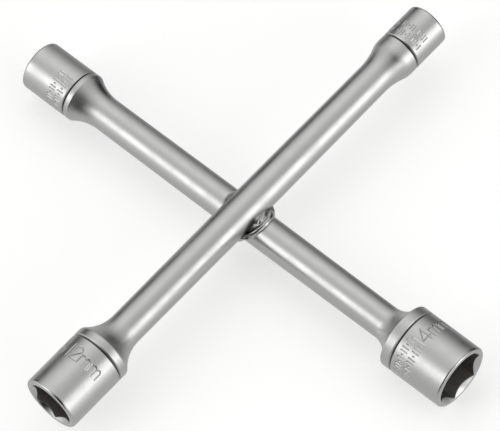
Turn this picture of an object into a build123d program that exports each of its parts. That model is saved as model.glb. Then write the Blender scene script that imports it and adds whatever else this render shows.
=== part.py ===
from build123d import *
from dataclasses import dataclass
from math import radians, sqrt, tan
import os

# A four-way socket wrench: two round bars that cross at right angles and are
# welded where they cross, with a hexagon socket of a different size on each end.
# Millimetres. The origin is under the crossing, at the level of the lowest
# point, which is the underside of the 14 mm socket. The lower bar lies along X,
# the upper bar along Y, and Z points up.

# Bars
arm_length = 77.2              # from the crossing to the mouth of every socket
bar_radius = 5.0               # at the crossing
bar_radius_at_neck = 4.85      # drawn down slightly towards each neck
stack_offset = 4.4             # upper bar's axis above the lower bar's axis

# Features shared by the four ends
seam_groove_depth = 0.45       # depth and half width of the V groove at a seam
rim_round = 0.7                # outside edge of a socket's mouth
hexagon_clearance = 0.12       # added to the nominal size across the flats
hexagon_corner_round = 0.45
countersink_margin = 0.1       # the countersink's rim outside the hexagon's corners
drill_point_angle = 118

# Weld round the crossing, laid in two runs: one on each side of the upper bar
left_weld_height = 0.9         # over the lower bar
left_weld_width = 1.1          # out from the upper bar
right_weld_height = 1.3
right_weld_radius = 7.4        # of the round outline that the broad right run spread to
right_weld_shift = 1.35        # that outline's centre, from the crossing towards +X
weld_edge_round = 0.5


@dataclass
class End:
    """One end of a bar: the neck and collar of the bar, and the socket on it."""

    size: float                # nominal hexagon, across the flats
    outer_radius: float        # of the socket and its collar
    neck_start: float          # this and the next two are distances from the crossing
    collar_start: float
    seam: float                # where the collar meets the socket
    shoulder: float            # width of the rounded shoulder that ends the neck
    hexagon_turn: float        # from one corner on top, in degrees
    hexagon_depth: float
    stud_radius: float         # round hole behind the hexagon, for the end of a stud
    stud_length: float


end_14 = End(14, 9.5, 50.8, 57.3, 60.2, 0.4, -19.4, 11.5, 5.25, 2.0)
end_12 = End(12, 8.6, 47.5, 56.8, 58.9, 1.1, 4.6, 11.0, 4.3, 3.0)
end_10 = End(10, 7.4, 51.4, 60.1, 61.8, 0.5, 0.0, 9.5, 3.3, 3.0)
end_8 = End(8, 6.45, 53.7, 62.9, 65.2, 2.7, 0.0, 7.5, 2.8, 2.0)

lower_axis_height = end_14.outer_radius
upper_axis_height = lower_axis_height + stack_offset


def bar_edge(end):
    """The outline of half a bar, from the crossing out to the seam."""
    neck_foot = (end.neck_start, bar_radius_at_neck)
    collar_edge = (end.collar_start, end.outer_radius)
    share = 1 - end.shoulder / (end.collar_start - end.neck_start)
    neck_top = (
        end.neck_start + share * (end.collar_start - end.neck_start),
        bar_radius_at_neck + share * (end.outer_radius - bar_radius_at_neck),
    )
    shank = Line((0, bar_radius), neck_foot)
    neck = TangentArc(neck_foot, neck_top, tangent=(1, 0))
    shoulder = TangentArc(collar_edge, neck_top, tangent=(-1, 0))
    collar = Polyline(
        collar_edge,
        (end.seam - seam_groove_depth, end.outer_radius),
        (end.seam, end.outer_radius - seam_groove_depth),
        (end.seam, 0),
    )
    return Curve() + [shank, neck, shoulder, collar]


def bar(front_end, back_end):
    """A bar lying along X on its axis, with front_end on its +X side."""
    outline = bar_edge(front_end) + mirror(bar_edge(back_end), about=Plane.YZ)
    outline += Line((front_end.seam, 0), (-back_end.seam, 0))
    return revolve(make_face(outline), axis=Axis.X)


def socket_body(end):
    """The outside of a socket along X, from the seam to the mouth."""
    corner_radius = (end.size + hexagon_clearance) / sqrt(3)
    groove_bottom = end.outer_radius - seam_groove_depth
    outline = Polyline(
        (end.seam, 0),
        (end.seam, groove_bottom),
        (end.seam + seam_groove_depth, end.outer_radius),
        (arm_length, end.outer_radius),
        (arm_length, 0),
        close=True,
    )
    body = revolve(make_face(outline), axis=Axis.X)
    mouth_edge = body.edges().filter_by(GeomType.CIRCLE).sort_by(Axis.X)[-1]
    body = fillet(mouth_edge, rim_round)
    countersink_radius = corner_radius + countersink_margin
    countersink = Cone(0, countersink_radius, countersink_radius, align=(Align.CENTER, Align.CENTER, Align.MAX))
    return body - Pos(arm_length, 0, 0) * Rot(0, 90, 0) * countersink


def hexagon_hole(end):
    """The hexagon recess and the round stud hole behind it, along X."""
    flats_radius = (end.size + hexagon_clearance) / 2
    outline = RegularPolygon(flats_radius, 6, major_radius=False, rotation=end.hexagon_turn)
    outline = fillet(outline.vertices(), hexagon_corner_round)
    hexagon = extrude(outline, end.hexagon_depth)
    stud_hole = Cylinder(
        end.stud_radius, end.stud_length + end.hexagon_depth, align=(Align.CENTER, Align.CENTER, Align.MIN)
    )
    point_depth = end.stud_radius / tan(radians(drill_point_angle / 2))
    point = Cone(0, end.stud_radius, point_depth, align=(Align.CENTER, Align.CENTER, Align.MAX))
    hole = Pos(0, 0, end.stud_length) * hexagon + stud_hole + point
    depth = end.hexagon_depth + end.stud_length
    return Pos(arm_length - depth, 0, 0) * Rot(0, 90, 0) * hole


def socket(end):
    """One hexagon socket along X."""
    return socket_body(end) - hexagon_hole(end)


def on_lower_bar(shape):
    """Raise a shape from the X axis to the lower bar."""
    return Pos(0, 0, lower_axis_height) * shape


def on_upper_bar(shape):
    """Turn a shape from the X axis to +Y and raise it to the upper bar."""
    return Pos(0, 0, upper_axis_height) * Rot(0, 0, 90) * shape


def flip(shape):
    """Turn a shape half round, to the other end of its bar."""
    return Rot(0, 0, 180) * shape


def half_space(direction):
    """A block that holds everything near the crossing on one side of its centre."""
    reach = 6 * bar_radius
    centre = (lower_axis_height + upper_axis_height) / 2
    return Pos(Vector(0, 0, centre) + Vector(direction) * (reach / 2)) * Box(reach, reach, reach)


def along_lower_bar(radius):
    """A round bar of any radius on the lower bar's axis."""
    return on_lower_bar(Rot(0, 90, 0) * Cylinder(radius, 8 * bar_radius))


def along_upper_bar(radius):
    """A round bar of any radius on the upper bar's axis."""
    return on_upper_bar(Rot(0, 90, 0) * Cylinder(radius, 8 * bar_radius))


def rounded(shape):
    """The shape with its curved edges rounded."""
    return fillet(shape.edges().filter_by(GeomType.LINE, reverse=True), weld_edge_round)


def left_weld():
    """The thin run: a bead that follows the corner between the two bars."""
    bead = along_lower_bar(bar_radius + left_weld_height) & along_upper_bar(bar_radius + left_weld_width)
    return rounded(bead) & half_space((-1, 0, 0))


def right_weld():
    """The broad run: it lies over the lower bar and under the upper bar, out to a round outline."""
    centre = (lower_axis_height + upper_axis_height) / 2
    outline = Pos(right_weld_shift, 0, centre) * Cylinder(right_weld_radius, 6 * bar_radius)
    over_lower = rounded(along_lower_bar(bar_radius + right_weld_height) & outline)
    under_upper = rounded(along_upper_bar(bar_radius + right_weld_height) & outline)
    run = (over_lower & half_space((0, 0, 1))) + (under_upper & half_space((0, 0, -1)))
    return run & half_space((1, 0, 0))


def build_parts():
    """Every piece of the wrench, by name."""
    lower = on_lower_bar(bar(end_14, end_10))
    upper = on_upper_bar(bar(end_8, end_12))
    lower_bar = lower - (upper & half_space((0, 0, 1)))
    upper_bar = upper - (lower & half_space((0, 0, -1)))
    return {
        "lower_bar": lower_bar,
        "upper_bar": upper_bar,
        "socket_14mm": on_lower_bar(socket(end_14)),
        "socket_12mm": on_upper_bar(flip(socket(end_12))),
        "socket_10mm": on_lower_bar(flip(socket(end_10))),
        "socket_8mm": on_upper_bar(socket(end_8)),
        "weld_right": right_weld() - lower - upper,
        "weld_left": left_weld() - lower - upper,
    }


os.makedirs("parts", exist_ok=True)
for node, shape in build_parts().items():
    export_step(shape, f"parts/{node}.step")
    print(node, len(shape.solids()), "solid,", round(shape.volume, 1), "mm3")
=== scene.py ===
"""A four-way socket wrench: two crossed bars, each with a hexagon socket on both ends.

Sizes in the dataclasses are millimetres, as on a workshop drawing, and meshes are built in metres.
On each arm, a distance is measured from the crossing along the arm, and an angle round the arm
starts at the side on the left of someone looking out along it and climbs over the top.
"""

import logging
import math
from collections.abc import Sequence
from dataclasses import dataclass
from enum import Enum

import bpy
import numpy as np
from mathutils import Matrix, Vector


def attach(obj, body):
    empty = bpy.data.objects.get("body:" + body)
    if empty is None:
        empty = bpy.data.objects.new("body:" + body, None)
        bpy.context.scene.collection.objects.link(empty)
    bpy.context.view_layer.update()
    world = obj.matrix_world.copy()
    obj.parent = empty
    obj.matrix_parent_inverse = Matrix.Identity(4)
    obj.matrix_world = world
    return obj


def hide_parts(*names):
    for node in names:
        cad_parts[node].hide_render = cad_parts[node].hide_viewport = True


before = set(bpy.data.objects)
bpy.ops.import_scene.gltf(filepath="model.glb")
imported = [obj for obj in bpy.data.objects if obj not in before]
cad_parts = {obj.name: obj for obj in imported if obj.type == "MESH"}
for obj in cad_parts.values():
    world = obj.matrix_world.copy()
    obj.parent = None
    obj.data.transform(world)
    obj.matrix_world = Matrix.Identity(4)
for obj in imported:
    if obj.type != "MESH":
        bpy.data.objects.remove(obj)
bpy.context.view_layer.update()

log = logging.getLogger("wrench")

MM = 0.001

Point = tuple[float, float]
Tree = bpy.types.NodeTree
Object = bpy.types.Object
Material = bpy.types.Material

# ---------------------------------------------------------------- small helpers


def linear(colour: str) -> tuple[float, float, float, float]:
    """Turn an sRGB hex colour into the linear colour that shaders take.

    Args:
        colour: Six hex digits.

    Returns:
        Linear red, green, blue and an alpha of 1.
    """
    channels = [int(colour[i : i + 2], 16) / 255 for i in (0, 2, 4)]
    r, g, b = [c / 12.92 if c <= 0.04045 else ((c + 0.055) / 1.055) ** 2.4 for c in channels]
    return r, g, b, 1.0


def add_node(tree: Tree, kind: str, sockets: dict | None = None, **settings: object) -> bpy.types.Node:
    """Add a node with its settings and links.

    Args:
        tree: The node tree that the node goes into.
        kind: The node's type name.
        sockets: What each input gets, by name or number: a value, or an output to link to it.
        settings: The node's own properties.

    Returns:
        The new node.
    """
    node = tree.nodes.new(kind)
    for name, value in settings.items():
        setattr(node, name, value)
    for key, value in (sockets or {}).items():
        if isinstance(value, bpy.types.NodeSocket):
            tree.links.new(value, node.inputs[key])
        else:
            node.inputs[key].default_value = value
    return node


def new_tree(name: str, inputs: dict[str, str]) -> tuple[Tree, bpy.types.Node]:
    """Start a geometry node tree that takes geometry and some named sizes.

    Args:
        name: The tree's name.
        inputs: The named inputs after the geometry, with their socket types.

    Returns:
        The tree and its group input node.
    """
    tree = bpy.data.node_groups.new(name, "GeometryNodeTree")
    tree.interface.new_socket("Geometry", in_out="INPUT", socket_type="NodeSocketGeometry")
    tree.interface.new_socket("Geometry", in_out="OUTPUT", socket_type="NodeSocketGeometry")
    for label, kind in inputs.items():
        tree.interface.new_socket(label, in_out="INPUT", socket_type=kind)
    return tree, add_node(tree, "NodeGroupInput")


def run_tree(piece: Object, tree: Tree, values: dict[str, object]) -> None:
    """Put a piece's mesh through a geometry node tree and keep the result as a plain mesh.

    Args:
        piece: The object whose mesh goes in, and which gets the result.
        tree: The geometry node tree.
        values: What the tree's named inputs are set to.
    """
    modifier = piece.modifiers.new(tree.name, "NODES")
    modifier.node_group = tree
    for item in tree.interface.items_tree:
        if item.in_out == "INPUT" and item.name in values:
            modifier[item.identifier] = values[item.name]
    bpy.context.view_layer.update()
    depsgraph = bpy.context.evaluated_depsgraph_get()
    result = bpy.data.meshes.new_from_object(
        piece.evaluated_get(depsgraph), preserve_all_data_layers=True, depsgraph=depsgraph
    )
    piece.modifiers.remove(modifier)
    raw, piece.data = piece.data, result
    bpy.data.meshes.remove(raw)
    result.name = piece.name


def new_object(name: str, points: np.ndarray, edges: Sequence = (), faces: Sequence = ()) -> Object:
    """Make a mesh object at the origin.

    Args:
        name: The object's name.
        points: Vertices in millimetres.
        edges: Pairs of vertex numbers.
        faces: Lists of vertex numbers, anticlockwise seen from outside.

    Returns:
        The object, linked into the scene.
    """
    mesh = bpy.data.meshes.new(name)
    mesh.from_pydata((np.asarray(points, float) * MM).tolist(), list(edges), list(faces))
    mesh.shade_smooth()
    obj = bpy.data.objects.new(name, mesh)
    bpy.context.scene.collection.objects.link(obj)
    return obj


def store(mesh: bpy.types.Mesh, name: str, kind: str, domain: str, values: Sequence) -> None:
    """Keep one number for every point or face of a mesh.

    Args:
        mesh: The mesh.
        name: The attribute's name.
        kind: Its data type.
        domain: POINT or FACE.
        values: The numbers, in the mesh's own order.
    """
    mesh.attributes.new(name, kind, domain).data.foreach_set("value", values)


def smooth_step(low: float, high: float, value: np.ndarray | float) -> np.ndarray:
    """Rise smoothly from 0 at low to 1 at high."""
    t = np.clip((np.asarray(value, float) - low) / (high - low), 0, 1)
    return t * t * (3 - 2 * t)


def smooth_profile(profile: Sequence[Point], at: np.ndarray, blur: float) -> np.ndarray:
    """Read a height off a profile of straight runs whose corners are blurred.

    Args:
        profile: The profile's corners, as distance and height.
        at: Distances to read at.
        blur: How far each corner is spread.

    Returns:
        The heights.
    """
    grid = np.arange(-blur, profile[-1][0], blur / 16)
    window = np.hanning(33)
    raw = np.interp(np.pad(grid, 16, mode="edge"), *zip(*profile))
    return np.interp(at, grid, np.convolve(raw, window / window.sum(), mode="valid"))


def round_corners(corners: Sequence[tuple[float, float, float]], steps: int, hold: float) -> list[Point]:
    """Round the corners of a line of straight runs.

    Args:
        corners: Each corner as x, y and the radius that it is rounded to.
        steps: How many short runs make one rounded corner.
        hold: How far past each rounded corner one more point keeps the next run straight.

    Returns:
        The points of the rounded line.
    """
    line = [Vector(corners[0][:2])]
    for before, corner, after in zip(corners, corners[1:], corners[2:]):
        at, radius = Vector(corner[:2]), corner[2]
        back, on = (Vector(before[:2]) - at).normalized(), (Vector(after[:2]) - at).normalized()
        half = back.angle(on) / 2
        reach = radius / math.tan(half)
        centre = at + (back + on).normalized() * (radius / math.sin(half))
        start, end = at + back * reach - centre, at + on * reach - centre
        line.append(at + back * (reach + hold))
        line += [centre + start.slerp(end, k / steps) * radius for k in range(steps + 1)]
        line.append(at + on * (reach + hold))
    line.append(Vector(corners[-1][:2]))
    return [(p.x, p.y) for p in line]


# ---------------------------------------------------------------- finishes


class Lay(Enum):
    """Which way the marks of making run, as how finely a pattern repeats along X, Y and Z."""

    DRAWN_ALONG_X = (0.06, 1.0, 1.0)
    DRAWN_ALONG_Y = (1.0, 0.06, 1.0)
    TURNED_ABOUT_X = (1.0, 0.06, 0.06)
    TURNED_ABOUT_Y = (0.06, 1.0, 0.06)
    EVEN = (1.0, 1.0, 1.0)


@dataclass(frozen=True)
class SatinChrome:
    """Chrome plate over bead-blasted chrome-vanadium steel.

    The blasting leaves the plate frosted, so lights show as broad soft bands with a fine grain in
    them, and rubbed edges are a little brighter and sharper than the rest.
    """

    name: str
    lay: Lay
    plate: str = "C8C8C7"
    # Painted shade: the stamped strokes, the seam grooves, the bar's flank beside the weld and the weld's groove are
    # darkened towards this colour.
    shade_colour: str = "6B6A67"
    pressed_shade: float = 0.35  # how much painted shade the stamped strokes take, as a share of the shade colour
    roughness: float = 0.32
    roughness_spread: float = 0.05
    rubbed_roughness: float = 0.16
    # Blasting craters are about 0.05 mm: drawn at 0.28 mm, because finer ones don't show.
    grain: float = 0.28
    grain_height: float = 0.012
    mark_spacing: float = 0.5
    mark_height: float = 0.006
    mottle: float = 5.0
    mottle_height: float = 0.02

    def material(self) -> Material:
        """Make the shader.

        Returns:
            The material.
        """
        made = bpy.data.materials.new(self.name)
        made.use_nodes = True
        tree = made.node_tree
        shader = tree.nodes["Principled BSDF"]
        shader.inputs["Metallic"].default_value = 1.0
        place = add_node(tree, "ShaderNodeTexCoord").outputs["Object"]
        along_lay = add_node(tree, "ShaderNodeMapping", {"Vector": place, "Scale": self.lay.value})
        grain = add_node(
            tree, "ShaderNodeTexNoise", {"Vector": place, "Scale": 1 / (self.grain * MM), "Detail": 3.0}
        )
        marks = add_node(
            tree,
            "ShaderNodeTexNoise",
            {"Vector": along_lay.outputs[0], "Scale": 1 / (self.mark_spacing * MM), "Detail": 4.0},
        )
        mottle = add_node(
            tree, "ShaderNodeTexNoise", {"Vector": place, "Scale": 1 / (self.mottle * MM), "Detail": 2.0}
        )
        pressed = add_node(tree, "ShaderNodeAttribute", attribute_name="pressed").outputs["Fac"]
        soiled = add_node(tree, "ShaderNodeAttribute", attribute_name="soiled").outputs["Fac"]
        part = add_node(tree, "ShaderNodeMath", {0: pressed, 1: self.pressed_shade}, operation="MULTIPLY")
        either = add_node(tree, "ShaderNodeMath", {0: part.outputs[0], 1: soiled}, operation="MAXIMUM")
        rubbed = add_node(tree, "ShaderNodeAttribute", attribute_name="rubbed").outputs["Fac"]

        # Painted shade: the plate colour is darkened towards the shade colour in the stamped strokes and wherever the
        # painted shade attribute is laid.
        colour = add_node(
            tree,
            "ShaderNodeMix",
            {"Factor": either.outputs[0], "A": linear(self.plate), "B": linear(self.shade_colour)},
            data_type="RGBA",
        )
        tree.links.new(colour.outputs["Result"], shader.inputs["Base Color"])

        varied = add_node(
            tree,
            "ShaderNodeMapRange",
            {
                "Value": mottle.outputs["Fac"],
                "From Min": 0.3,
                "From Max": 0.7,
                "To Min": self.roughness - self.roughness_spread,
                "To Max": self.roughness + self.roughness_spread,
            },
        )
        worn = add_node(
            tree, "ShaderNodeMix", {"Factor": rubbed, "A": varied.outputs[0], "B": self.rubbed_roughness}
        )
        tree.links.new(worn.outputs["Result"], shader.inputs["Roughness"])

        relief = None
        for pattern, height in (
            (mottle, self.mottle_height),
            (marks, self.mark_height),
            (grain, self.grain_height),
        ):
            sockets = {"Height": pattern.outputs["Fac"], "Distance": height * MM}
            if relief is not None:
                sockets["Normal"] = relief.outputs[0]
            relief = add_node(tree, "ShaderNodeBump", sockets)
        tree.links.new(relief.outputs[0], shader.inputs["Normal"])
        return made


@dataclass(frozen=True)
class BroachedSteel:
    """Bare broached steel, where the plating bath hardly reaches.

    The broach leaves fine lines along the bore, and oil residue keeps it dark and dull.
    """

    name: str
    lay: Lay
    light: str = "C2C0BC"
    dark: str = "8E8B87"
    roughness: float = 0.42
    # Broach lines are about 0.1 mm apart: drawn at 0.35 mm, because finer ones don't show.
    line_spacing: float = 0.35
    line_height: float = 0.02

    def material(self) -> Material:
        """Make the shader.

        Returns:
            The material.
        """
        made = bpy.data.materials.new(self.name)
        made.use_nodes = True
        tree = made.node_tree
        shader = tree.nodes["Principled BSDF"]
        shader.inputs["Metallic"].default_value = 1.0
        shader.inputs["Roughness"].default_value = self.roughness
        place = add_node(tree, "ShaderNodeTexCoord").outputs["Object"]
        along_lay = add_node(tree, "ShaderNodeMapping", {"Vector": place, "Scale": self.lay.value})
        lines = add_node(
            tree,
            "ShaderNodeTexNoise",
            {"Vector": along_lay.outputs[0], "Scale": 1 / (self.line_spacing * MM), "Detail": 3.0},
        )
        colour = add_node(
            tree,
            "ShaderNodeMix",
            {"Factor": lines.outputs["Fac"], "A": linear(self.dark), "B": linear(self.light)},
            data_type="RGBA",
        )
        relief = add_node(
            tree, "ShaderNodeBump", {"Height": lines.outputs["Fac"], "Distance": self.line_height * MM}
        )
        tree.links.new(colour.outputs["Result"], shader.inputs["Base Color"])
        tree.links.new(relief.outputs[0], shader.inputs["Normal"])
        return made


@dataclass(frozen=True)
class OpalAcrylic:
    """Cast opal acrylic sheet, lit from below: pale and even, with a faint tooth."""

    name: str = "lit_opal_acrylic"
    colour: str = "D8D8D7"
    glow_colour: str = "FAFAFA"
    glow: float = 0.56
    roughness: float = 0.9
    tooth: float = 0.6
    tooth_height: float = 0.02

    def material(self) -> Material:
        """Make the shader.

        Returns:
            The material.
        """
        made = bpy.data.materials.new(self.name)
        made.use_nodes = True
        tree = made.node_tree
        shader = tree.nodes["Principled BSDF"]
        shader.inputs["Base Color"].default_value = linear(self.colour)
        shader.inputs["Roughness"].default_value = self.roughness
        shader.inputs["Emission Color"].default_value = linear(self.glow_colour)
        shader.inputs["Emission Strength"].default_value = self.glow
        place = add_node(tree, "ShaderNodeTexCoord").outputs["Object"]
        tooth = add_node(
            tree, "ShaderNodeTexNoise", {"Vector": place, "Scale": 1 / (self.tooth * MM), "Detail": 2.0}
        )
        relief = add_node(
            tree, "ShaderNodeBump", {"Height": tooth.outputs["Fac"], "Distance": self.tooth_height * MM}
        )
        tree.links.new(relief.outputs[0], shader.inputs["Normal"])
        return made


# ---------------------------------------------------------------- sizes


class Heading(Enum):
    """Which way an arm points, as its turn from +X about the vertical, in degrees."""

    ALONG_X = 0
    ALONG_Y = 90
    AGAINST_X = 180
    AGAINST_Y = 270


@dataclass(frozen=True)
class Mark:
    """One line of stamped marks round a socket.

    The tops of the marks point to the crossing, and the line runs down from its starting angle.
    """

    text: str
    start: float  # angle round the arm
    top: float  # distance of the marks' tops from the crossing
    height: float
    stretch: float = 1.0


@dataclass(frozen=True)
class EndSizes:
    """One end of a bar: the neck and collar of the bar, and the socket on it."""

    size: float  # nominal hexagon, across the flats
    outer_radius: float
    neck_start: float
    collar_start: float
    seam: float
    shoulder: float
    first_corner: float  # angle round the arm of one corner of the hexagon
    hexagon_depth: float
    stud_radius: float
    stud_length: float
    marks: tuple[Mark, ...]


ARM_LENGTH = 77.2
BAR_RADIUS = 5.0
BAR_RADIUS_AT_NECK = 4.85
LOWER_AXIS = 9.5
UPPER_AXIS = 13.9
MIDDLE = (LOWER_AXIS + UPPER_AXIS) / 2
SEAM_DEPTH = 0.45
RIM_ROUND = 0.7
HEXAGON_CLEARANCE = 0.12
HEXAGON_CORNER = 0.45
COUNTERSINK_MARGIN = 0.1
DRILL_POINT = 118.0
EDGE_SOFTNESS = 0.05  # of an edge that is only broken, not rounded

END_14 = EndSizes(
    14, 9.5, 50.8, 57.3, 60.2, 0.4, 10.6, 11.5, 5.25, 2.0,
    (
        Mark("|.||.|.||.|", 176, 62.0, 1.9),
        Mark("||.|.||.||.", 174, 65.1, 1.9),
        Mark("14mm", 104, 62.7, 4.2),
    ),
)  # fmt: skip
END_12 = EndSizes(
    12, 8.6, 47.5, 56.8, 58.9, 1.1, 34.6, 11.0, 4.3, 3.0,
    (
        Mark("|.||.|.||.", 192, 61.0, 1.8),
        Mark("||.|.||.||", 190, 64.0, 1.8),
        Mark("12mm", 114.5, 61.8, 4.2),
    ),
)  # fmt: skip
END_10 = EndSizes(
    10, 7.4, 51.4, 60.1, 61.8, 0.5, 30.0, 9.5, 3.3, 3.0,
    (
        Mark("|.||.|.||.|", 86, 63.2, 1.7),
        Mark("||.|.||.||.", 87, 65.9, 1.7),
        Mark("10mm", 0, 63.2, 4.2),
    ),
)  # fmt: skip
END_8 = EndSizes(
    8, 6.45, 53.7, 62.9, 65.2, 2.7, 30.0, 7.5, 2.8, 2.0,
    (
        Mark("|.||.|.||.", 140, 66.7, 1.6),
        Mark("||.|.||.||", 138, 69.7, 1.6),
        Mark("8mm", 50, 66.9, 4.2),
    ),
)  # fmt: skip


# ---------------------------------------------------------------- bars


def lathe_tree() -> Tree:
    """Turn a line of points, each with its own radius, into a closed round bar.

    Returns:
        The geometry node tree.
    """
    tree, given = new_tree(
        "turned_bar",
        {
            "Facets round": "NodeSocketInt",
            "Axis height": "NodeSocketFloat",
            "Turn": "NodeSocketFloat",
            "Finish": "NodeSocketMaterial",
        },
    )
    axis = add_node(tree, "GeometryNodeMeshToCurve", {"Mesh": given.outputs["Geometry"]})
    radius = add_node(tree, "GeometryNodeInputNamedAttribute", {"Name": "turned_radius"}, data_type="FLOAT")
    ring = add_node(
        tree,
        "GeometryNodeCurvePrimitiveCircle",
        {"Resolution": given.outputs["Facets round"], "Radius": 1.0},
    )
    skin = add_node(
        tree,
        "GeometryNodeCurveToMesh",
        {
            "Curve": axis.outputs[0],
            "Profile Curve": ring.outputs["Curve"],
            "Scale": radius.outputs["Attribute"],
            "Fill Caps": True,
        },
    )
    smooth = add_node(tree, "GeometryNodeSetShadeSmooth", {"Geometry": skin.outputs[0]})
    lift = add_node(tree, "ShaderNodeCombineXYZ", {"Z": given.outputs["Axis height"]})
    turn = add_node(tree, "ShaderNodeCombineXYZ", {"Z": given.outputs["Turn"]})
    placed = add_node(
        tree,
        "GeometryNodeTransform",
        {"Geometry": smooth.outputs[0], "Translation": lift.outputs[0], "Rotation": turn.outputs[0]},
    )
    real = add_node(tree, "GeometryNodeRealizeInstances", {"Geometry": placed.outputs[0]})
    dressed = add_node(
        tree, "GeometryNodeSetMaterial", {"Geometry": real.outputs[0], "Material": given.outputs["Finish"]}
    )
    add_node(tree, "NodeGroupOutput", {"Geometry": dressed.outputs[0]})
    return tree


@dataclass
class Bar:
    """A round bar that is drawn out at both ends into a neck and a collar."""

    name: str
    node: str
    front: EndSizes
    back: EndSizes
    heading: Heading
    axis_height: float
    facets: int = 128
    nest_reach: float = 8.0  # the stretch each side of the crossing that gets a close mesh
    nest_spacing: float = 0.3
    shank_spacing: float = 2.5
    neck_steps: int = 22
    shoulder_steps: int = 10
    # Painted shade and painted reflection of the dark weld on the upper bar's flank beside it:
    weld_shade_at: float = -4.0  # along Y from the crossing
    weld_shade_length: float = 3.2
    weld_shade_height: float = 2.6
    weld_shade_strength: float = 1.0

    def outline(self, end: EndSizes) -> list[Point]:
        """Trace half the bar.

        Args:
            end: The end that it runs to.

        Returns:
            Points as distance from the crossing and radius, outwards.
        """
        close = np.arange(0, self.nest_reach, self.nest_spacing)
        far = np.arange(self.nest_reach, end.neck_start - 1.0, self.shank_spacing)
        drawn = BAR_RADIUS_AT_NECK - BAR_RADIUS
        line = [(x, BAR_RADIUS + drawn * x / end.neck_start) for x in (*close, *far)]

        length, rise = end.collar_start - end.neck_start, end.outer_radius - BAR_RADIUS_AT_NECK
        bend = 2 * math.atan2(rise, length)
        full = (length**2 + rise**2) / (2 * rise)
        shoulder_radius = full * end.shoulder / length
        neck_radius = full - shoulder_radius
        for angle in np.linspace(0, bend, self.neck_steps + 1):
            x = end.neck_start + neck_radius * math.sin(angle)
            line.append((x, BAR_RADIUS_AT_NECK + neck_radius * (1 - math.cos(angle))))
        for angle in np.linspace(bend, 0, self.shoulder_steps + 1)[1:]:
            x = end.collar_start - shoulder_radius * math.sin(angle)
            line.append((x, end.outer_radius - shoulder_radius * (1 - math.cos(angle))))
        groove = [
            (end.collar_start + EDGE_SOFTNESS, end.outer_radius, 0),
            (end.seam - SEAM_DEPTH, end.outer_radius, 2 * EDGE_SOFTNESS),
            (end.seam, end.outer_radius - SEAM_DEPTH, 0),
        ]
        return line + round_corners(groove, 3, EDGE_SOFTNESS)

    def paint_groove_shade(self, line: np.ndarray) -> np.ndarray:
        """Say where shade is painted: down in the grooves at both seams.

        Args:
            line: The bar's outline.

        Returns:
            How much painted shade each point takes, from 0 to 1.
        """
        front = smooth_step(self.front.seam - SEAM_DEPTH, self.front.seam, line[:, 0])
        back = smooth_step(self.back.seam - SEAM_DEPTH, self.back.seam, -line[:, 0])
        return front + back

    def nest(self, piece: Object) -> None:
        """Cut the bar's half of the saddle where the two bars lie in each other.

        Args:
            piece: The finished bar.
        """
        mesh = piece.data
        points = np.zeros(len(mesh.vertices) * 3)
        mesh.vertices.foreach_get("co", points)
        points = points.reshape(-1, 3) / MM
        lower = self.axis_height < MIDDLE
        across = points[:, 0] if lower else points[:, 1]
        inside = np.abs(across) < BAR_RADIUS
        other = np.sqrt(np.clip(BAR_RADIUS**2 - across**2, 0, None))
        if lower:
            saddle = np.maximum(MIDDLE, UPPER_AXIS - other)
            points[:, 2] = np.where(inside, np.minimum(points[:, 2], saddle), points[:, 2])
        else:
            saddle = np.minimum(MIDDLE, LOWER_AXIS + other)
            points[:, 2] = np.where(inside, np.maximum(points[:, 2], saddle), points[:, 2])
        mesh.vertices.foreach_set("co", (points * MM).ravel())
        mesh.update()

    def paint_weld_shade(self, piece: Object) -> None:
        """Paint shade and a dark reflection of the weld on the bar's flank beside the groove in the weld, where the
        weld shades it and is mirrored in it.

        Args:
            piece: The finished bar.
        """
        layer = piece.data.attributes["soiled"].data
        soiled = np.zeros(len(layer))
        layer.foreach_get("value", soiled)
        points = np.zeros(len(layer) * 3)
        piece.data.vertices.foreach_get("co", points)
        x, y, z = points.reshape(-1, 3).T / MM
        off = ((y - self.weld_shade_at) / self.weld_shade_length) ** 2 + ((z - MIDDLE) / self.weld_shade_height) ** 2
        weld_shade = self.weld_shade_strength * np.exp(-off) * (x > 0) * (np.abs(x) < 1.2 * BAR_RADIUS)
        layer.foreach_set("value", np.maximum(soiled, weld_shade))

    def build(self, tree: Tree, finish: Material) -> Object:
        """Make the bar.

        Args:
            tree: The lathe tree.
            finish: The bar's material.

        Returns:
            The finished piece.
        """
        front, back = self.outline(self.front), self.outline(self.back)
        line = np.array([(-x, r) for x, r in reversed(back[1:])] + front)
        points = np.column_stack([line[:, 0], np.zeros((len(line), 2))])
        edges = [(i, i + 1) for i in range(len(line) - 1)]
        piece = new_object(self.name, points, edges)
        store(piece.data, "turned_radius", "FLOAT", "POINT", line[:, 1] * MM)
        store(piece.data, "soiled", "FLOAT", "POINT", self.paint_groove_shade(line))
        values = {
            "Facets round": self.facets,
            "Axis height": self.axis_height * MM,
            "Turn": math.radians(self.heading.value),
            "Finish": finish,
        }
        run_tree(piece, tree, values)
        self.nest(piece)
        # Painted shade beside the weld, on the upper bar only.
        if self.axis_height > MIDDLE:
            self.paint_weld_shade(piece)
        return piece


# ---------------------------------------------------------------- sockets

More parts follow.
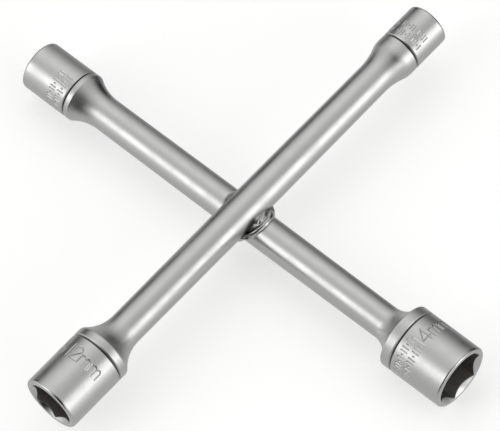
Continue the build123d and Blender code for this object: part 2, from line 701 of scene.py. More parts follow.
# Single-stroke figures on a height of 1: each has its width and its strokes.
FIGURES: dict[str, tuple[float, list[list[Point]]]] = {
    "0": (0.62, [[(0.31 + 0.31 * math.cos(a), 0.5 + 0.5 * math.sin(a)) for a in np.linspace(0, 2 * math.pi, 25)]]),
    "1": (0.06, [[(0.0, 0.0), (0.0, 1.0)]]),
    "2": (
        0.6,
        [
            [(0.3 - 0.29 * math.cos(a), 0.72 + 0.28 * math.sin(a)) for a in np.linspace(0, 3.6, 14)]
            + [(0.0, 0.0), (0.6, 0.0)]
        ],
    ),
    "4": (0.7, [[(0.52, 0.0), (0.52, 1.0), (0.0, 0.28), (0.7, 0.28)]]),
    "8": (
        0.56,
        [
            [(0.28 + 0.24 * math.cos(a), 0.76 + 0.24 * math.sin(a)) for a in np.linspace(0, 2 * math.pi, 21)],
            [(0.28 + 0.28 * math.cos(a), 0.26 + 0.26 * math.sin(a)) for a in np.linspace(0, 2 * math.pi, 21)],
        ],
    ),
    "m": (
        0.76,
        [
            [(0.0, 0.0), (0.0, 0.64)],
            [(0.0, 0.45), (0.08, 0.59), (0.2, 0.64), (0.32, 0.59), (0.38, 0.45), (0.38, 0.0)],
            [(0.38, 0.45), (0.46, 0.59), (0.58, 0.64), (0.7, 0.59), (0.76, 0.45), (0.76, 0.0)],
        ],
    ),
    "|": (0.1, [[(0.05, 0.0), (0.05, 1.0)]]),
    ".": (0.1, [[(0.05, 0.42), (0.05, 0.58)]]),
}
FIGURE_GAP = {"|": 0.46, ".": 0.46}
USUAL_GAP = 0.15


def stamp_tree() -> Tree:
    """Press strokes into a socket's wall and give the wall and the bore their finishes.

    Returns:
        The geometry node tree.
    """
    tree, given = new_tree(
        "pressed_marks",
        {
            "Strokes": "NodeSocketObject",
            "Depth": "NodeSocketFloat",
            "Half width": "NodeSocketFloat",
            "Slope": "NodeSocketFloat",
            "Wall finish": "NodeSocketMaterial",
            "Bore finish": "NodeSocketMaterial",
        },
    )
    strokes = add_node(tree, "GeometryNodeObjectInfo", {"Object": given.outputs["Strokes"]})
    nearest = add_node(
        tree, "GeometryNodeProximity", {"Geometry": strokes.outputs["Geometry"]}, target_element="EDGES"
    )
    outside = add_node(
        tree,
        "ShaderNodeMath",
        {0: given.outputs["Half width"], 1: given.outputs["Slope"]},
        operation="ADD",
    )
    pressed = add_node(
        tree,
        "ShaderNodeMapRange",
        {
            "Value": nearest.outputs["Distance"],
            "From Min": outside.outputs[0],
            "From Max": given.outputs["Half width"],
        },
        interpolation_type="SMOOTHSTEP",
    )
    kept = add_node(
        tree,
        "GeometryNodeStoreNamedAttribute",
        {"Geometry": given.outputs["Geometry"], "Name": "pressed", "Value": pressed.outputs[0]},
        data_type="FLOAT",
        domain="POINT",
    )
    push = add_node(
        tree, "ShaderNodeMath", {0: pressed.outputs[0], 1: given.outputs["Depth"]}, operation="MULTIPLY"
    )
    inward = add_node(tree, "ShaderNodeMath", {0: push.outputs[0], 1: -1.0}, operation="MULTIPLY")
    normal = add_node(tree, "GeometryNodeInputNormal")
    shift = add_node(
        tree,
        "ShaderNodeVectorMath",
        {0: normal.outputs[0], "Scale": inward.outputs[0]},
        operation="SCALE",
    )
    moved = add_node(
        tree, "GeometryNodeSetPosition", {"Geometry": kept.outputs[0], "Offset": shift.outputs[0]}
    )
    real = add_node(tree, "GeometryNodeRealizeInstances", {"Geometry": moved.outputs[0]})
    wall = add_node(
        tree,
        "GeometryNodeSetMaterial",
        {"Geometry": real.outputs[0], "Material": given.outputs["Wall finish"]},
    )
    in_bore = add_node(tree, "GeometryNodeInputNamedAttribute", {"Name": "in_bore"}, data_type="BOOLEAN")
    bore = add_node(
        tree,
        "GeometryNodeSetMaterial",
        {
            "Geometry": wall.outputs[0],
            "Selection": in_bore.outputs["Attribute"],
            "Material": given.outputs["Bore finish"],
        },
    )
    add_node(tree, "NodeGroupOutput", {"Geometry": bore.outputs[0]})
    return tree


@dataclass
class Ring:
    """One ring of a socket's skin."""

    x: np.ndarray  # distance from the crossing, all the way round
    r: np.ndarray
    in_bore: bool = False  # whether the band from this ring to the next is in the bore
    rubbed: float = 0.0


@dataclass
class Socket:
    """A hexagon socket with a countersunk mouth, a stud hole behind and a stamped wall."""

    name: str
    node: str
    end: EndSizes
    heading: Heading
    axis_height: float
    facets: int = 144
    wall_spacing: float = 1.2
    mark_spacing: float = 0.1  # of the mesh where marks are pressed in
    mark_border: float = 0.5
    stroke_half_width: float = 0.07
    stroke_slope: float = 0.14
    stroke_depth: float = 0.15

    def figure_places(self) -> list[tuple[Mark, float, str]]:
        """Set out the marks round the wall.

        Returns:
            Each figure's line, its starting angle and itself.
        """
        places = []
        for mark in self.end.marks:
            arc = 0.0
            for figure in mark.text:
                places.append((mark, mark.start - math.degrees(arc / self.end.outer_radius), figure))
                step = FIGURES[figure][0] + FIGURE_GAP.get(figure, USUAL_GAP)
                arc += step * mark.height * mark.stretch
        return places

    def strokes(self) -> Object:
        """Draw the marks as bent lines on the wall.

        Returns:
            An object with edges only.
        """
        points, edges = [], []
        radius = self.end.outer_radius
        for mark, start, figure in self.figure_places():
            for line in FIGURES[figure][1]:
                for (u0, v0), (u1, v1) in zip(line, line[1:]):
                    steps = max(1, math.ceil(math.hypot(u1 - u0, v1 - v0) * mark.height / 0.4))
                    for k in range(steps + 1):
                        u, v = u0 + (u1 - u0) * k / steps, v0 + (v1 - v0) * k / steps
                        angle = math.radians(start) - u * mark.height * mark.stretch / radius
                        x = mark.top + (1 - v) * mark.height
                        if k:
                            edges.append((len(points) - 1, len(points)))
                        points.append((x, radius * math.cos(angle), radius * math.sin(angle)))
        return new_object(f"{self.name}_strokes", self.place(np.array(points)), edges)

    def place(self, points: np.ndarray) -> np.ndarray:
        """Turn points from the arm's own directions to the wrench's.

        Args:
            points: Along the arm, to its left and up.

        Returns:
            The points in the wrench's frame.
        """
        turn = math.radians(self.heading.value)
        along, left, up = points.T
        x = along * math.cos(turn) - left * math.sin(turn)
        y = along * math.sin(turn) + left * math.cos(turn)
        return np.column_stack([x, y, up + self.axis_height])

    def mark_range(self) -> tuple[float, float, float, float]:
        """Find the part of the wall that the marks take up.

        Returns:
            Its lowest and highest angle, and its nearest and farthest distance.
        """
        radius = self.end.outer_radius
        border = math.degrees(self.mark_border / radius)
        places = self.figure_places()
        starts = [start for _, start, _ in places]
        ends = [
            start - math.degrees(FIGURES[figure][0] * mark.height * mark.stretch / radius)
            for mark, start, figure in places
        ]
        tops = [mark.top for mark in self.end.marks]
        feet = [mark.top + mark.height for mark in self.end.marks]
        near, far = min(tops) - self.mark_border, max(feet) + self.mark_border
        return min(ends) - border, max(starts) + border, near, far

    def hexagon_radius(self, angles: np.ndarray) -> np.ndarray:
        """Give the hexagon's radius at each angle, with its corners rounded.

        Args:
            angles: Degrees round the arm.

        Returns:
            The radii.
        """
        flat = (self.end.size + HEXAGON_CLEARANCE) / 2
        off_corner = (angles - self.end.first_corner + 30) % 60 - 30
        off_flat = 30 - np.abs(off_corner)
        straight = flat / np.cos(np.radians(off_flat))
        centre = (flat - HEXAGON_CORNER) / math.cos(math.radians(30))
        swing = np.radians(off_corner)
        under = np.clip(HEXAGON_CORNER**2 - (centre * np.sin(swing)) ** 2, 0, None)
        rounded = centre * np.cos(swing) + np.sqrt(under)
        tangent = math.degrees(math.atan((flat - HEXAGON_CORNER) * math.tan(math.radians(30)) / flat))
        return np.where(off_flat > tangent, rounded, straight)

    def angles(self) -> np.ndarray:
        """Choose the columns of the skin: close at the marks and at the hexagon's corners.

        Returns:
            Angles in degrees, rising, over one full turn.
        """
        low, high, _, _ = self.mark_range()
        turn = 360 / self.facets
        fine = math.degrees(self.mark_spacing / self.end.outer_radius)
        marked = np.linspace(low, high, math.ceil((high - low) / fine) + 1)
        plain = np.linspace(high, low + 360, math.ceil((low + 360 - high) / turn) + 1)
        flat = (self.end.size + HEXAGON_CLEARANCE) / 2
        tangent = math.degrees(math.atan((flat - HEXAGON_CORNER) * math.tan(math.radians(30)) / flat))
        half = 30 - tangent
        near_corner = half * np.array([-1.25, -1.0, -0.7, -0.35, 0.0, 0.35, 0.7, 1.0, 1.25])
        corners = [(self.end.first_corner + 60 * k + near_corner - low) % 360 + low for k in range(6)]
        columns = np.concatenate([marked[:-1], plain[:-1]])
        every_corner = np.concatenate(corners)
        gap = np.abs(columns[:, None] - every_corner[None, :])
        gap = np.minimum(gap, 360 - gap).min(axis=1)
        keep = columns[gap > 0.3 * fine]
        return np.sort(np.concatenate([keep, every_corner]))

    def rings(self, angles: np.ndarray) -> list[Ring]:
        """Trace the skin from the seam, along the wall, over the mouth and down the bore.

        Args:
            angles: The columns of the skin.

        Returns:
            The rings in order.
        """
        end, soft = self.end, EDGE_SOFTNESS
        ones = np.ones_like(angles)
        _, _, near, far = self.mark_range()
        sink = (end.size + HEXAGON_CLEARANCE) / math.sqrt(3) + COUNTERSINK_MARGIN
        corners = [
            (end.seam, end.outer_radius - SEAM_DEPTH, 0),
            (end.seam + SEAM_DEPTH, end.outer_radius, 2 * soft),
            (ARM_LENGTH, end.outer_radius, RIM_ROUND),
            (ARM_LENGTH, sink, 0),
        ]
        line = round_corners(corners, 8, soft)[:-1]
        wall_start = end.seam + SEAM_DEPTH + 0.3
        wall_end = ARM_LENGTH - RIM_ROUND - 0.3
        fine = np.arange(max(near, wall_start), far, self.mark_spacing)
        coarse = np.arange(far + self.wall_spacing, wall_end, self.wall_spacing)
        head = [p for p in line if p[0] < wall_start]
        wall = [(x, end.outer_radius) for x in (*fine, *coarse)]
        tail = [p for p in line if p[0] > wall_end]
        rings = [Ring(x * ones, r * ones) for x, r in head + wall]
        rings += [Ring(x * ones, r * ones, rubbed=0.7) for x, r in tail]
        rings.append(Ring(ARM_LENGTH * ones, (sink + 2 * soft) * ones, rubbed=0.4))
        rings.append(Ring(ARM_LENGTH * ones, (sink + soft) * ones, rubbed=0.8))

        hexagon = self.hexagon_radius(angles)
        drop = sink - hexagon
        rings.append(Ring((ARM_LENGTH - soft) * ones, (sink - soft) * ones, rubbed=0.8))
        rings.append(Ring(ARM_LENGTH - drop + soft, hexagon + soft, rubbed=0.3))
        floor = ARM_LENGTH - end.hexagon_depth
        rings.append(Ring(ARM_LENGTH - drop - soft, hexagon, in_bore=True))
        for share in (0.02, 0.5, 0.97):
            rings.append(Ring((ARM_LENGTH - drop) * (1 - share) + floor * share, hexagon, in_bore=True))
        back = floor - end.stud_length
        point = back - end.stud_radius / math.tan(math.radians(DRILL_POINT / 2))
        rings.append(Ring((floor + soft) * ones, hexagon, in_bore=True))
        rings.append(Ring(floor * ones, hexagon - soft, in_bore=True))
        for x, r in round_corners(
            [
                (floor, end.stud_radius + 3 * soft, 0),
                (floor, end.stud_radius, soft),
                (back, end.stud_radius, soft),
                (point, 0, 0),
            ],
            2,
            soft,
        )[:-1]:
            rings.append(Ring(x * ones, r * ones, in_bore=True))
        self.poles = (end.seam, point)
        return rings

    def skin(self) -> Object:
        """Join the rings into a closed skin.

        Returns:
            The socket before its marks are pressed in.
        """
        angles = self.angles()
        turned = np.radians(angles)
        rings = self.rings(angles)
        points = [np.array([[self.poles[0], 0.0, 0.0]])]
        for ring in rings:
            points.append(np.column_stack([ring.x, ring.r * np.cos(turned), ring.r * np.sin(turned)]))
        points.append(np.array([[self.poles[1], 0.0, 0.0]]))
        count, last = len(angles), 1 + len(rings) * len(angles)
        faces, in_bore = [], []
        for j in range(count):
            faces.append((0, 1 + (j + 1) % count, 1 + j))
            in_bore.append(False)
        for i, ring in enumerate(rings[:-1]):
            low, high = 1 + i * count, 1 + (i + 1) * count
            for j in range(count):
                k = (j + 1) % count
                faces.append((low + j, low + k, high + k, high + j))
                in_bore.append(ring.in_bore)
        low = last - count
        for j in range(count):
            faces.append((low + j, low + (j + 1) % count, last))
            in_bore.append(True)
        piece = new_object(self.name, self.place(np.vstack(points)), (), faces)
        store(piece.data, "in_bore", "BOOLEAN", "FACE", in_bore)
        rubbed = [0.0] + [ring.rubbed for ring in rings for _ in range(count)] + [0.0]
        store(piece.data, "rubbed", "FLOAT", "POINT", rubbed)
        # Painted shade down in the seam groove.
        out = np.concatenate([ring.x if not ring.in_bore else ring.x + ARM_LENGTH for ring in rings])
        soiled = smooth_step(self.end.seam + SEAM_DEPTH, self.end.seam, out)
        store(piece.data, "soiled", "FLOAT", "POINT", [1.0, *soiled, 0.0])
        return piece

    def build(self, tree: Tree, wall: Material, bore: Material) -> Object:
        """Make the socket.

        Args:
            tree: The stamping tree.
            wall: The finish of the outside and the countersink.
            bore: The finish of the bore.

        Returns:
            The finished piece.
        """
        piece, strokes = self.skin(), self.strokes()
        values = {
            "Strokes": strokes,
            "Depth": self.stroke_depth * MM,
            "Half width": self.stroke_half_width * MM,
            "Slope": self.stroke_slope * MM,
            "Wall finish": wall,
            "Bore finish": bore,
        }
        run_tree(piece, tree, values)
        lines = strokes.data
        bpy.data.objects.remove(strokes)
        bpy.data.meshes.remove(lines)
        return piece


# ---------------------------------------------------------------- weld


def ripple_tree() -> Tree:
    """Give a weld run the uneven surface of metal that froze as it ran.

    Returns:
        The geometry node tree.
    """
    tree, given = new_tree(
        "weld_ripple",
        {
            "Lump size": "NodeSocketFloat",
            "Lump height": "NodeSocketFloat",
            "Ripple pitch": "NodeSocketFloat",
            "Ripple height": "NodeSocketFloat",
            "Seed": "NodeSocketFloat",
            "Finish": "NodeSocketMaterial",
        },
    )
    per_lump = add_node(tree, "ShaderNodeMath", {0: 1.0, 1: given.outputs["Lump size"]}, operation="DIVIDE")
    lumps = add_node(
        tree,
        "ShaderNodeTexNoise",
        {"W": given.outputs["Seed"], "Scale": per_lump.outputs[0], "Detail": 1.0},
        noise_dimensions="4D",
    )
    lump = add_node(tree, "ShaderNodeMath", {0: lumps.outputs["Fac"], 1: 0.5}, operation="SUBTRACT")
    lump_push = add_node(
        tree, "ShaderNodeMath", {0: lump.outputs[0], 1: given.outputs["Lump height"]}, operation="MULTIPLY"
    )
    run = add_node(tree, "GeometryNodeInputNamedAttribute", {"Name": "run"}, data_type="FLOAT")
    turns = add_node(
        tree,
        "ShaderNodeMath",
        {0: run.outputs["Attribute"], 1: given.outputs["Ripple pitch"]},
        operation="DIVIDE",
    )
    wave = add_node(tree, "ShaderNodeMath", {0: turns.outputs[0]}, operation="SINE")
    wave_push = add_node(
        tree, "ShaderNodeMath", {0: wave.outputs[0], 1: given.outputs["Ripple height"]}, operation="MULTIPLY"
    )
    both = add_node(tree, "ShaderNodeMath", {0: lump_push.outputs[0], 1: wave_push.outputs[0]}, operation="ADD")
    free = add_node(tree, "GeometryNodeInputNamedAttribute", {"Name": "free"}, data_type="FLOAT")
    push = add_node(
        tree, "ShaderNodeMath", {0: both.outputs[0], 1: free.outputs["Attribute"]}, operation="MULTIPLY"
    )
    normal = add_node(tree, "GeometryNodeInputNormal")
    shift = add_node(
        tree, "ShaderNodeVectorMath", {0: normal.outputs[0], "Scale": push.outputs[0]}, operation="SCALE"
    )
    moved = add_node(
        tree,
        "GeometryNodeSetPosition",
        {"Geometry": given.outputs["Geometry"], "Offset": shift.outputs[0]},
    )
    real = add_node(tree, "GeometryNodeRealizeInstances", {"Geometry": moved.outputs[0]})
    dressed = add_node(
        tree, "GeometryNodeSetMaterial", {"Geometry": real.outputs[0], "Material": given.outputs["Finish"]}
    )
    add_node(tree, "NodeGroupOutput", {"Geometry": dressed.outputs[0]})
    return tree


class Side(Enum):
    """Which side of the upper bar a weld run lies on."""

    RIGHT = 1
    LEFT = -1


@dataclass
class WeldRun:
    """Half of the weld: metal squeezed out between the bars into a rolled lip."""

    name: str
    node: str
    side: Side
    outline_centre: float  # from the crossing towards the run's side
    outline_radius: float
    joint_reach: float  # from the crossing along Y, where the two runs meet
    crest: tuple[Point, ...]  # distance in from the outline, and height over the bar there
    groove: tuple[Point, ...]  # the same towards the lip's low side
    shade_by_inset: tuple[Point, ...]  # distance in from the outline, and how much painted shade is laid there
    shade_on_high_side: float = 0.12  # share of the painted shade on the high side
    flange: float = 0.5  # half the thickness beside the bars
    blend: float = 0.8
    edge_round: float = 0.9
    columns: int = 200
    rings: int = 60
    profile_blur: float = 0.3
    lump_height: float = 0.04
    ripple_height: float = 0.01
    seed: float = 3.0

    def reach(self, angle: np.ndarray) -> np.ndarray:
        """Give the outline's distance from the crossing.

        Args:
            angle: Directions in radians, from the run's own side.

        Returns:
            The distances.
        """
        centre = self.outline_centre
        circle = centre * np.cos(angle) + np.sqrt(self.outline_radius**2 - (centre * np.sin(angle)) ** 2)
        share = smooth_step(math.radians(58), math.radians(90), np.abs(angle))
        return circle * (1 - share) + self.joint_reach * share

    def low_side(self, y: np.ndarray) -> np.ndarray:
        """Say how far each place is over to the side where the lip sinks into a groove."""
        return smooth_step(-0.2, -2.0, y) * smooth_step(-7.4, -6.4, y)

    def faces_of_disc(self, x: np.ndarray, y: np.ndarray, inset: np.ndarray) -> tuple[np.ndarray, np.ndarray]:
        """Give the top and the underside of the run.

        Args:
            x: Places from the crossing along the run's side.
            y: Places across it.
            inset: Distance in from the outline at each place.

        Returns:
            Heights of the top and of the underside, from the middle of the joint.
        """
        rounding = np.sqrt(np.clip(1 - np.clip(1 - inset / self.edge_round, 0, 1) ** 2, 0, 1))
        crest = smooth_profile(self.crest, inset, self.profile_blur)
        groove = smooth_profile(self.groove, inset, self.profile_blur)
        low_side = self.low_side(y)
        lip = crest * (1 - low_side) + groove * low_side - self.edge_round * (1 - rounding)
        flange = self.flange * (0.2 + 0.8 * rounding)
        half_stack = (UPPER_AXIS - LOWER_AXIS) / 2
        over_lower = -half_stack + np.sqrt(np.clip((BAR_RADIUS + lip) ** 2 - y**2, 0, None))
        under_upper = half_stack - np.sqrt(np.clip((BAR_RADIUS + lip) ** 2 - x**2, 0, None))
        spread = self.blend**2
        top = (over_lower + flange + np.sqrt((over_lower - flange) ** 2 + spread)) / 2
        foot = (under_upper - flange - np.sqrt((under_upper + flange) ** 2 + spread)) / 2
        return top, foot

    def insets(self, reach: np.ndarray, radius: np.ndarray, total: int) -> list[np.ndarray]:
        """Give the distance in from the outline for every sheet of the skin.

        Args:
            reach: The outline's distance from the crossing, by column.
            radius: The rings' distances from the crossing, by ring and column.
            total: How many sheets there are.

        Returns:
            One array for each sheet, from the top to the underside.
        """
        top = [reach - radius[i] for i in range(self.rings)]
        walls = [np.zeros_like(reach)] * (total - 2 * self.rings)
        return top + walls + top[::-1]

    def skin(self) -> Object:
        """Build the run as a closed half disc.

        Returns:
            The run before it is rippled.
        """
        angle = np.linspace(-math.pi / 2, math.pi / 2, self.columns + 1)
        # Rings crowd towards the rim, where the lip is.
        share = 1 - (1 - np.linspace(0, 1, self.rings + 1)[1:]) ** 1.6
        reach = self.reach(angle)
        radius = share[:, None] * reach[None, :]
        x, y = radius * np.cos(angle), radius * np.sin(angle)
        top, foot = self.faces_of_disc(x, y, reach[None, :] - radius)
        walls = 5
        levels = [top[-1] + (foot[-1] - top[-1]) * k / (walls + 1) for k in range(1, walls + 1)]
        sheets = [(x[i], y[i], top[i]) for i in range(self.rings)]
        sheets += [(x[-1], y[-1], level) for level in levels]
        sheets += [(x[i], y[i], foot[i]) for i in reversed(range(self.rings))]
        points = [np.column_stack(sheet) for sheet in sheets]
        start = self.faces_of_disc(np.zeros(1), np.zeros(1), reach[:1])
        poles = np.array([[0, 0, start[0][0]], [0, 0, start[1][0]]])
        points = np.vstack([poles[:1], *points, poles[1:]])
        count, total = self.columns + 1, len(sheets)
        last = 1 + total * count
        faces = [(0, 1 + j, 2 + j) for j in range(count - 1)]
        for i in range(total - 1):
            low, high = 1 + i * count, 1 + (i + 1) * count
            faces += [(low + j, high + j, high + j + 1, low + j + 1) for j in range(count - 1)]
        low = 1 + (total - 1) * count
        faces += [(low + j + 1, low + j, last) for j in range(count - 1)]
        # The flat face where the two runs meet is made of strips between top and underside.
        for column, turned in ((0, False), (count - 1, True)):
            for i in range((total - 1) // 2):
                a, b = 1 + i * count + column, 1 + (i + 1) * count + column
                c, d = 1 + (total - 2 - i) * count + column, 1 + (total - 1 - i) * count + column
                strip = (a, d, c, b) if b != c else (a, d, b)
                faces.append(strip[::-1] if turned else strip)
            closing = (0, last, 1 + (total - 1) * count + column, 1 + column)
            faces.append(closing[::-1] if turned else closing)
        if self.side is Side.LEFT:
            points[:, 0] *= -1
            faces = [face[::-1] for face in faces]
        free = smooth_step(0.2, 2.0, np.abs(points[:, 0]))
        run = np.arctan2(points[:, 1], np.abs(points[:, 0])) * self.outline_radius
        inset = np.concatenate([reach[:1], *self.insets(reach, radius, len(sheets)), reach[:1]])
        # Painted shade in the lip's groove and inwards from it, strongest on the low side.
        soiled = smooth_profile(self.shade_by_inset, inset, self.profile_blur) * (
            self.shade_on_high_side + (1 - self.shade_on_high_side) * self.low_side(points[:, 1])
        )
        points[:, 2] += MIDDLE
        piece = new_object(self.name, points, (), faces)
        store(piece.data, "free", "FLOAT", "POINT", free)
        store(piece.data, "run", "FLOAT", "POINT", run * MM)
        store(piece.data, "soiled", "FLOAT", "POINT", soiled)
        return piece

    def build(self, tree: Tree, finish: Material) -> Object:
        """Make the run.

        Args:
            tree: The ripple tree.
            finish: The weld's material.

        Returns:
            The finished piece.
        """
        piece = self.skin()
        values = {
            "Lump size": 3.5 * MM,
            "Lump height": self.lump_height * MM,
            "Ripple pitch": 0.25 * MM,
            "Ripple height": self.ripple_height * MM,
            "Seed": self.seed,
            "Finish": finish,
        }
        run_tree(piece, tree, values)
        return piece


# ---------------------------------------------------------------- wrench


@dataclass
class Wrench:
    """The whole wrench."""

    body: str = "root"
    plate_slot: str = "satin_chrome"
    weld_slot: str = "plated_weld"

    def attach(self, piece: Object, node: str) -> None:
        """Let a piece stand for its CAD node.

        Args:
            piece: The finished piece.
            node: The CAD node's name.
        """
        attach(piece, self.body)
        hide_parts(node)
        piece.data.calc_loop_triangles()
        log.info("%s stands for %s: %d triangles", piece.name, node, len(piece.data.loop_triangles))

    def build_bars(self) -> None:
        """Make both bars."""
        tree = lathe_tree()
        bars = [
            (Bar("turned_bar_lower", "lower_bar", END_14, END_10, Heading.ALONG_X, LOWER_AXIS), Lay.DRAWN_ALONG_X),
            (Bar("turned_bar_upper", "upper_bar", END_8, END_12, Heading.ALONG_Y, UPPER_AXIS), Lay.DRAWN_ALONG_Y),
        ]
        for bar, lay in bars:
            finish = SatinChrome(f"satin_chrome_{lay.name.lower()}", lay).material()
            self.attach(bar.build(tree, finish), bar.node)

    def build_sockets(self) -> None:
        """Make the four sockets."""
        tree = stamp_tree()
        walls = {
            Lay.TURNED_ABOUT_X: SatinChrome("satin_chrome_turned_about_x", Lay.TURNED_ABOUT_X).material(),
            Lay.TURNED_ABOUT_Y: SatinChrome("satin_chrome_turned_about_y", Lay.TURNED_ABOUT_Y).material(),
        }
        bores = {
            Lay.TURNED_ABOUT_X: BroachedSteel("broached_steel_along_x", Lay.DRAWN_ALONG_X).material(),
            Lay.TURNED_ABOUT_Y: BroachedSteel("broached_steel_along_y", Lay.DRAWN_ALONG_Y).material(),
        }
        sockets = [
            (Socket("hexagon_socket_14", "socket_14mm", END_14, Heading.ALONG_X, LOWER_AXIS), Lay.TURNED_ABOUT_X),
            (Socket("hexagon_socket_12", "socket_12mm", END_12, Heading.AGAINST_Y, UPPER_AXIS), Lay.TURNED_ABOUT_Y),
            (Socket("hexagon_socket_10", "socket_10mm", END_10, Heading.AGAINST_X, LOWER_AXIS), Lay.TURNED_ABOUT_X),
            (Socket("hexagon_socket_8", "socket_8mm", END_8, Heading.ALONG_Y, UPPER_AXIS), Lay.TURNED_ABOUT_Y),
        ]
        for socket, lay in sockets:
            self.attach(socket.build(tree, walls[lay], bores[lay]), socket.node)

    def build_weld(self) -> None:
        """Make the two runs of the weld."""
        tree = ripple_tree()
        # The weld's shade colour is the painted shade of its groove.
        finish = SatinChrome("plated_weld_metal", Lay.EVEN, plate="C2C2BF", shade_colour="484744", roughness=0.26).material()
        right = WeldRun(
            "weld_run_broad",
            "weld_right",
            Side.RIGHT,
            1.35,
            7.4,
            5.9,
            ((0, 1.05), (0.9, 1.1), (1.3, 0.8), (1.75, 0.45), (2.2, 0.9), (2.6, 0.95), (3.2, 0.5), (9, 0.3)),
            ((0, 1.05), (0.8, 1.05), (1.3, 0.6), (1.8, 0.1), (2.4, 0), (9, 0)),
            ((0, 0), (1.1, 0), (1.6, 1), (1.8, 1), (2.1, 0.2), (2.7, 0.2), (3.2, 1), (9, 1)),
        )
        left = WeldRun(
            "weld_run_thin",
            "weld_left",
            Side.LEFT,
            0.3,
            5.8,
            5.9,
            ((0, 0.6), (0.3, 0.95), (0.6, 0.7), (0.9, 0.25), (9, 0.25)),
            ((0, 0.6), (0.3, 0.95), (0.6, 0.7), (0.9, 0.25), (9, 0.25)),
            ((0, 0.8), (0.3, 0.0), (0.5, 0.0), (0.8, 1.0), (9, 1.0)),
            shade_on_high_side=0.5,
            flange=0.6,
            blend=0.5,
            edge_round=0.5,
            lump_height=0.05,
            ripple_height=0.015,
            seed=7.0,
        )
        for run in (right, left):
            self.attach(run.build(tree, finish), run.node)


# ---------------------------------------------------------------- studio


@dataclass(frozen=True)
class Softbox:
    """A diffused lamp that faces the wrench."""

    name: str
    direction: tuple[float, float, float]
    radiance: float
    width: float = 0.38  # metres
    height: float = 0.6
    distance: float = 1.0


@dataclass(frozen=True)
class Patch:
    """A soft patch of the tent that is brighter or darker than the rest."""

    direction: tuple[float, float, float]
    tightness: float
    radiance: float


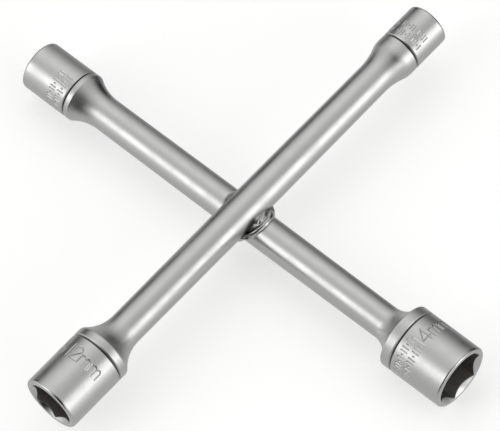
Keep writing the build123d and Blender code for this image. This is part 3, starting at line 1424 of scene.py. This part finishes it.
@dataclass
class Studio:
    """A pale sheet in a pale tent, with a softbox at each side."""

    floor_radius: float = 3.0
    tent: float = 0.614
    patches: tuple[Patch, ...] = (
        Patch((-0.34, 0.35, 0.87), 8.0, 0.469),  # the lamp overhead
        Patch((0.90, 0.43, 0.06), 20.0, 1.016),  # under the right softbox
        Patch((-0.01, 1.00, -0.07), 8.0, -0.72),  # dark cards low on the far side
        Patch((-0.95, 0.29, 0.07), 20.0, -0.68),
        Patch((0.53, -0.55, 0.64), 9.0, -0.95),  # the opening in front
        Patch((0.42, -0.80, 0.42), 14.0, -0.5),
        Patch((-0.39, -0.77, 0.50), 20.0, 1.2),  # round the left softbox
        Patch((0.18, -0.98, -0.02), 20.0, -0.543),
        Patch((-0.67, -0.74, -0.06), 20.0, 0.473),
        Patch((0.90, -0.31, 0.30), 20.0, 1.225),
    )
    aim: tuple[float, float, float] = (0.0, 0.0, 0.012)
    softboxes: tuple[Softbox, ...] = (
        Softbox("softbox_right", (0.88, 0.33, 0.36), 1.1),
        Softbox("softbox_left", (-0.43, -0.76, 0.50), 0.6),
    )
    # A line of sight: azimuth from -Y, elevation over the floor and roll, then millimetres.
    azimuth: float = 49.071
    elevation: float = 60.176
    roll: float = -8.329
    camera_place: tuple[float, float, float] = (406.15, -350.25, 945.68)
    sensor: float = 36.0
    lens: float = 284.77

    def lay_floor(self) -> None:
        """Lay the sheet that the wrench lies on. The metal mirrors the tent, and not the sheet."""
        count = 96
        turn = np.linspace(0, 2 * math.pi, count, endpoint=False)
        radius = self.floor_radius / MM
        rim = np.column_stack([radius * np.cos(turn), radius * np.sin(turn), np.zeros(count)])
        floor = new_object("pale_floor", rim, (), [tuple(range(count))])
        floor.data.materials.append(OpalAcrylic().material())
        floor.visible_glossy = False

    def hang_lights(self) -> None:
        """Hang the softboxes and light the tent."""
        for box in self.softboxes:
            lamp = bpy.data.lights.new(box.name, "AREA")
            lamp.shape = "RECTANGLE"
            lamp.size, lamp.size_y = box.width, box.height
            lamp.energy = box.radiance * math.pi * box.width * box.height
            holder = bpy.data.objects.new(box.name, lamp)
            towards = Vector(box.direction).normalized()
            holder.location = Vector(self.aim) + towards * box.distance
            holder.rotation_euler = towards.to_track_quat("Z", "Y").to_euler()
            holder.visible_camera = False
            bpy.context.scene.collection.objects.link(holder)
        self.light_tent()

    def light_tent(self) -> None:
        """Light the tent, patch by patch."""
        world = bpy.data.worlds.new("pale_tent")
        world.use_nodes = True
        tree = world.node_tree
        outward = add_node(tree, "ShaderNodeTexCoord").outputs["Generated"]
        total = None
        for patch in self.patches:
            towards = Vector(patch.direction).normalized()
            facing = add_node(
                tree, "ShaderNodeVectorMath", {0: outward, 1: towards}, operation="DOT_PRODUCT"
            ).outputs["Value"]
            away = add_node(
                tree,
                "ShaderNodeMath",
                {0: facing, 1: patch.tightness, 2: -patch.tightness},
                operation="MULTIPLY_ADD",
            )
            glow = add_node(tree, "ShaderNodeMath", {0: away.outputs[0]}, operation="EXPONENT")
            sockets = {0: glow.outputs[0], 1: patch.radiance, 2: self.tent if total is None else total}
            total = add_node(tree, "ShaderNodeMath", sockets, operation="MULTIPLY_ADD").outputs[0]
        kept = add_node(tree, "ShaderNodeMath", {0: total, 1: 0.0}, operation="MAXIMUM")
        tent = tree.nodes["Background"]
        tent.inputs["Color"].default_value = linear("FFFFFF")
        tree.links.new(kept.outputs[0], tent.inputs["Strength"])
        bpy.context.scene.world = world

    def set_camera(self) -> None:
        """Set up the camera."""
        turn, tilt, roll = map(math.radians, (self.azimuth, self.elevation, self.roll))
        back = Vector((math.sin(turn) * math.cos(tilt), -math.cos(turn) * math.cos(tilt), math.sin(tilt)))
        level = Vector((math.cos(turn), math.sin(turn), 0))
        upright = back.cross(level)
        right = level * math.cos(roll) + upright * math.sin(roll)
        up = back.cross(right)
        lens = bpy.data.cameras.new("camera")
        lens.sensor_width, lens.lens = self.sensor, self.lens
        camera = bpy.data.objects.new("camera", lens)
        camera.matrix_world = Matrix.Translation(Vector(self.camera_place) * MM) @ (
            Matrix((right, up, back)).transposed().to_4x4()
        )
        bpy.context.scene.collection.objects.link(camera)
        bpy.context.scene.camera = camera
        bpy.context.scene.view_settings.view_transform = "Standard"

    def build(self) -> None:
        """Make the whole studio."""
        self.lay_floor()
        self.hang_lights()
        self.set_camera()


def main() -> None:
    """Build the wrench and the studio."""
    logging.basicConfig(level=logging.INFO, format="%(name)s: %(message)s")
    wrench = Wrench()
    wrench.build_bars()
    wrench.build_sockets()
    wrench.build_weld()
    Studio().build()


if __name__ == "__main__":
    main()
